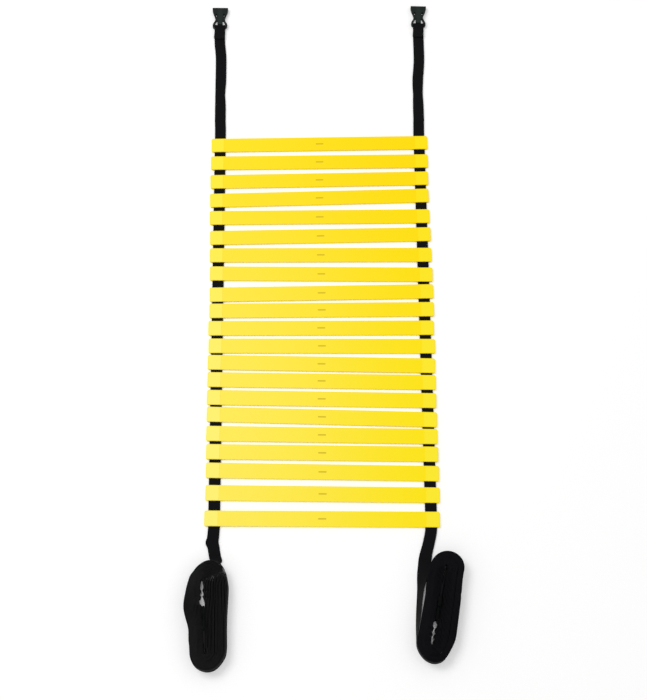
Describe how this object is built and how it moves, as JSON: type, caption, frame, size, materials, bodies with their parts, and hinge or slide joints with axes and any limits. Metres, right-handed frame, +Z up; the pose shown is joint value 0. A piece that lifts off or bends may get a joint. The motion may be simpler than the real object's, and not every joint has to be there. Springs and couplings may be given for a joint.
{
  "type": "agility ladder",
  "caption": "Agility ladder: flat moulded rungs that slide on two webbing straps, with side-release buckles at one end and the spare webbing wound into hanks at the other.",
  "frame": {"origin": "middle of the middle rung's flat underside, on the floor", "axes": "+X along the rungs to the right, +Y along the straps towards the open buckles, +Z up"},
  "size_m": [0.5759, 1.5507, 0.033],
  "materials": {
    "rung_yellow": "moulded polypropylene, satin",
    "webbing_black": "woven polypropylene webbing, matt",
    "buckle_plastic": "moulded acetal, fine satin texture"
  },
  "bodies": {
    "webbing": {"strap_left": "webbing_black", "strap_right": "webbing_black", "hank_left": "webbing_black", "hank_right": "webbing_black", "male_buckle_left": "buckle_plastic", "male_buckle_right": "buckle_plastic"},
    "rung_01": {"rung_01": "rung_yellow"},
    "rung_02": {"rung_02": "rung_yellow"},
    "rung_03": {"rung_03": "rung_yellow"},
    "rung_04": {"rung_04": "rung_yellow"},
    "rung_05": {"rung_05": "rung_yellow"},
    "rung_06": {"rung_06": "rung_yellow"},
    "rung_07": {"rung_07": "rung_yellow"},
    "rung_08": {"rung_08": "rung_yellow"},
    "rung_09": {"rung_09": "rung_yellow"},
    "rung_10": {"rung_10": "rung_yellow"},
    "rung_11": {"rung_11": "rung_yellow"},
    "rung_12": {"rung_12": "rung_yellow"},
    "rung_13": {"rung_13": "rung_yellow"},
    "rung_14": {"rung_14": "rung_yellow"},
    "rung_15": {"rung_15": "rung_yellow"},
    "rung_16": {"rung_16": "rung_yellow"},
    "rung_17": {"rung_17": "rung_yellow"},
    "rung_18": {"rung_18": "rung_yellow"},
    "rung_19": {"rung_19": "rung_yellow"},
    "rung_20": {"rung_20": "rung_yellow"},
    "rung_21": {"rung_21": "rung_yellow"},
    "female_buckle_left": {"female_buckle_left": "buckle_plastic"},
    "female_buckle_right": {"female_buckle_right": "buckle_plastic"}
  },
  "joints": [
    {"name": "rung_01_slide", "type": "slide", "parent": "webbing", "child": "rung_01", "axis": [0, 1, 0], "range_m": [-0.01055, 0.12]},
    {"name": "rung_02_slide", "type": "slide", "parent": "webbing", "child": "rung_02", "axis": [0, 1, 0], "range_m": [-0.00923, 0.01055]},
    {"name": "rung_03_slide", "type": "slide", "parent": "webbing", "child": "rung_03", "axis": [0, 1, 0], "range_m": [-0.00887, 0.00923]},
    {"name": "rung_04_slide", "type": "slide", "parent": "webbing", "child": "rung_04", "axis": [0, 1, 0], "range_m": [-0.00857, 0.00887]},
    {"name": "rung_05_slide", "type": "slide", "parent": "webbing", "child": "rung_05", "axis": [0, 1, 0], "range_m": [-0.01011, 0.00857]},
    {"name": "rung_06_slide", "type": "slide", "parent": "webbing", "child": "rung_06", "axis": [0, 1, 0], "range_m": [-0.00783, 0.01011]},
    {"name": "rung_07_slide", "type": "slide", "parent": "webbing", "child": "rung_07", "axis": [0, 1, 0], "range_m": [-0.00943, 0.00783]},
    {"name": "rung_08_slide", "type": "slide", "parent": "webbing", "child": "rung_08", "axis": [0, 1, 0], "range_m": [-0.00556, 0.00943]},
    {"name": "rung_09_slide", "type": "slide", "parent": "webbing", "child": "rung_09", "axis": [0, 1, 0], "range_m": [-0.00394, 0.00556]},
    {"name": "rung_10_slide", "type": "slide", "parent": "webbing", "child": "rung_10", "axis": [0, 1, 0], "range_m": [-0.00658, 0.00394]},
    {"name": "rung_11_slide", "type": "slide", "parent": "webbing", "child": "rung_11", "axis": [0, 1, 0], "range_m": [-0.0065, 0.00658]},
    {"name": "rung_12_slide", "type": "slide", "parent": "webbing", "child": "rung_12", "axis": [0, 1, 0], "range_m": [-0.00363, 0.0065]},
    {"name": "rung_13_slide", "type": "slide", "parent": "webbing", "child": "rung_13", "axis": [0, 1, 0], "range_m": [-0.00414, 0.00363]},
    {"name": "rung_14_slide", "type": "slide", "parent": "webbing", "child": "rung_14", "axis": [0, 1, 0], "range_m": [-0.00612, 0.00414]},
    {"name": "rung_15_slide", "type": "slide", "parent": "webbing", "child": "rung_15", "axis": [0, 1, 0], "range_m": [-0.00378, 0.00612]},
    {"name": "rung_16_slide", "type": "slide", "parent": "webbing", "child": "rung_16", "axis": [0, 1, 0], "range_m": [-0.00345, 0.00378]},
    {"name": "rung_17_slide", "type": "slide", "parent": "webbing", "child": "rung_17", "axis": [0, 1, 0], "range_m": [-0.00494, 0.00345]},
    {"name": "rung_18_slide", "type": "slide", "parent": "webbing", "child": "rung_18", "axis": [0, 1, 0], "range_m": [-0.00669, 0.00494]},
    {"name": "rung_19_slide", "type": "slide", "parent": "webbing", "child": "rung_19", "axis": [0, 1, 0], "range_m": [-0.01266, 0.00669]},
    {"name": "rung_20_slide", "type": "slide", "parent": "webbing", "child": "rung_20", "axis": [0, 1, 0], "range_m": [-0.0182, 0.01266]},
    {"name": "rung_21_slide", "type": "slide", "parent": "webbing", "child": "rung_21", "axis": [0, 1, 0], "range_m": [-0.015, 0.0182]},
    {"name": "female_buckle_left_hinge", "type": "hinge", "parent": "webbing", "child": "female_buckle_left", "pos_m": [-0.2331, 0.75586, 0.0043], "axis": [1, -0.007, 0], "range_deg": [0, 100]},
    {"name": "female_buckle_right_hinge", "type": "hinge", "parent": "webbing", "child": "female_buckle_right", "pos_m": [0.235, 0.76086, 0.0043], "axis": [0.9997, -0.0244, 0], "range_deg": [0, 100]}
  ]
}
